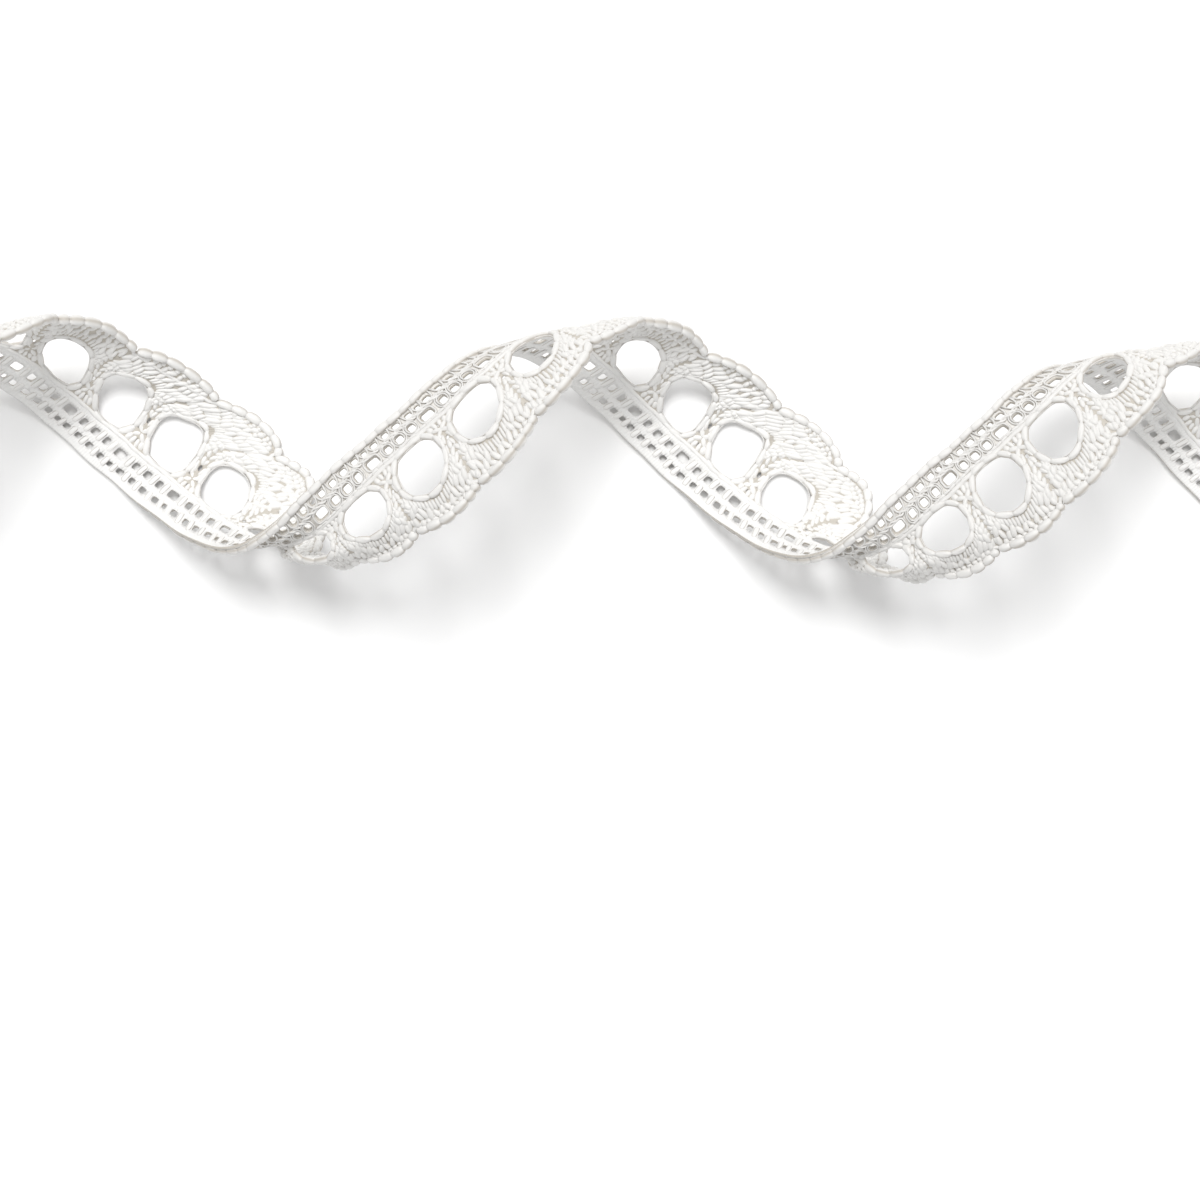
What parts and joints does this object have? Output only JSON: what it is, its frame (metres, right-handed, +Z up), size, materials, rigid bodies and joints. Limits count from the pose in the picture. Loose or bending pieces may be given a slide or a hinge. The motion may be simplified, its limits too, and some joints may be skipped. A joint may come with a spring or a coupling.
{
  "type": "curled length of guipure lace edging",
  "caption": "Length of scalloped guipure lace edging with a pierced heading, lying on a table in a loose open coil.",
  "frame": {"origin": "on the surface that the coil lies on, under the middle of the coil's box", "axes": "+X along the coil's axis towards the side that the scallops face, +Y across it, +Z up"},
  "size_m": [0.2838, 0.0485, 0.0429],
  "materials": {
    "lace_thread": "soft satin white thread"
  },
  "bodies": {
    "root": {"lace_strip": "lace_thread"}
  },
  "joints": []
}
